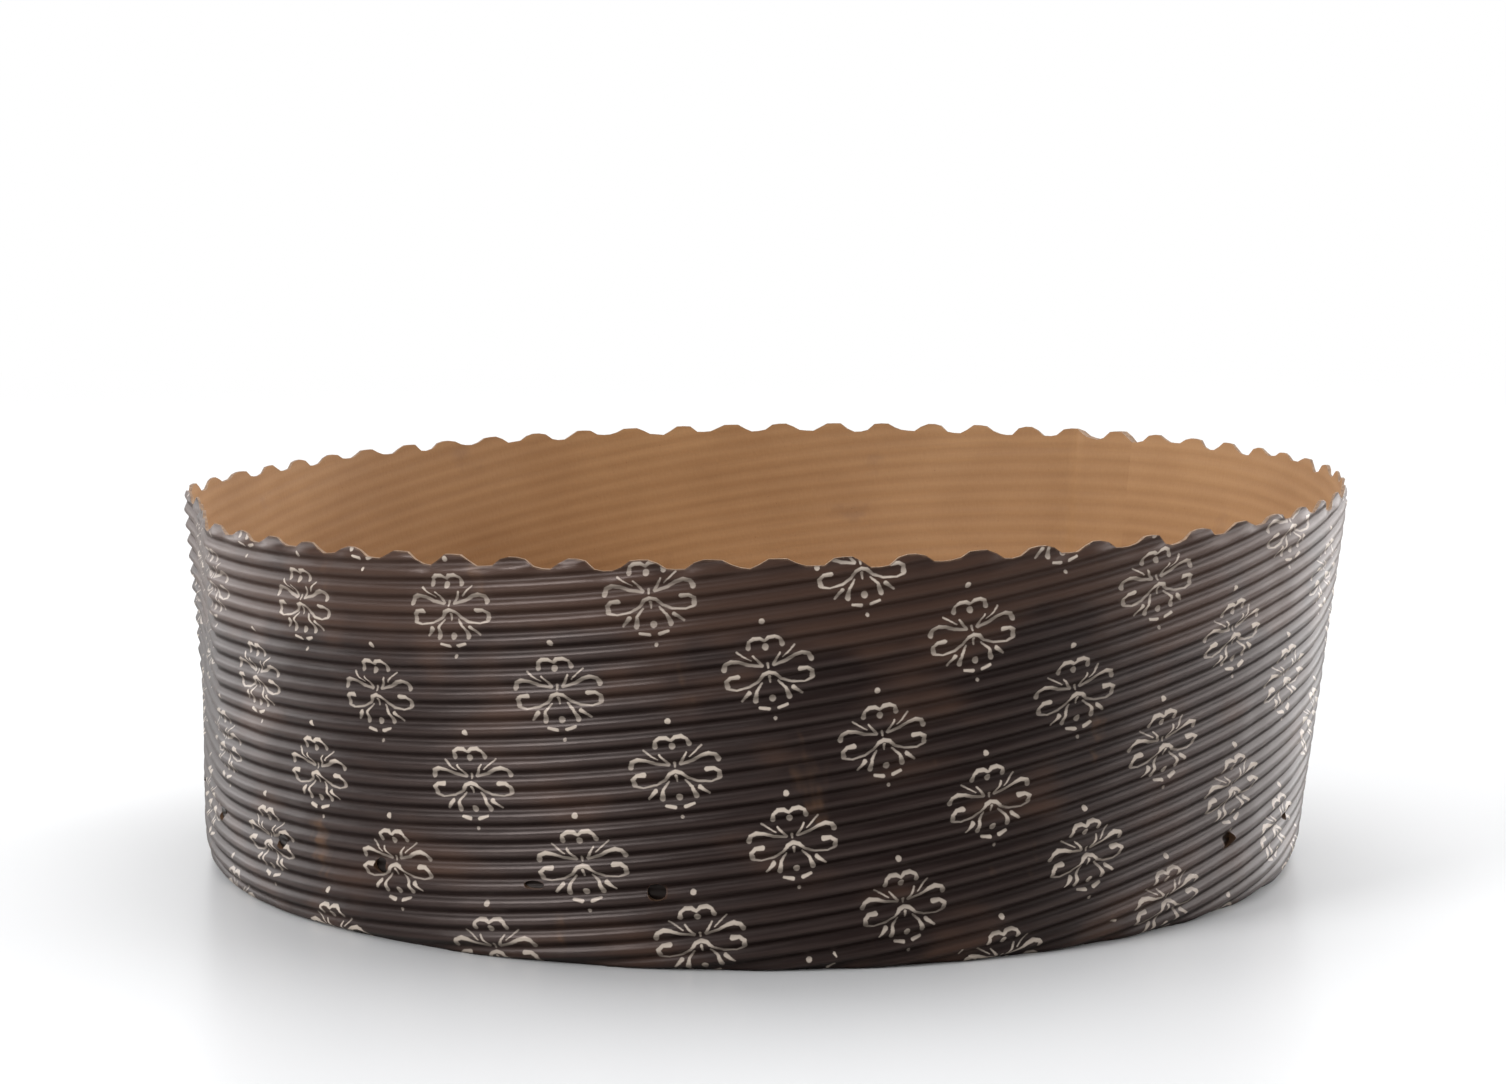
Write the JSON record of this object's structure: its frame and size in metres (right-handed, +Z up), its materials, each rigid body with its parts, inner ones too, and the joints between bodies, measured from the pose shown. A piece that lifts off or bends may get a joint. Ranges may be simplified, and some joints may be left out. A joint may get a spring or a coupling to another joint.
{
  "type": "panettone paper mold",
  "caption": "Round, slightly flared baking mold of printed corrugated paper with a scalloped rim, punched vents and a separate base disc.",
  "frame": {"origin": "centre of the underside, on the surface that the mold stands on", "axes": "+Z up through the open rim; -Y towards the front; the glued lap is at the back right"},
  "size_m": [0.2199, 0.221, 0.072],
  "materials": {
    "printed_wall_paper": "dark brown print with thin pale gold flowers, slightly glossy over corrugated paper; golden tan liner inside",
    "plain_base_board": "matte golden tan corrugated board"
  },
  "bodies": {
    "root": {"side_wall": "printed_wall_paper", "base_disc": "plain_base_board"}
  },
  "joints": []
}
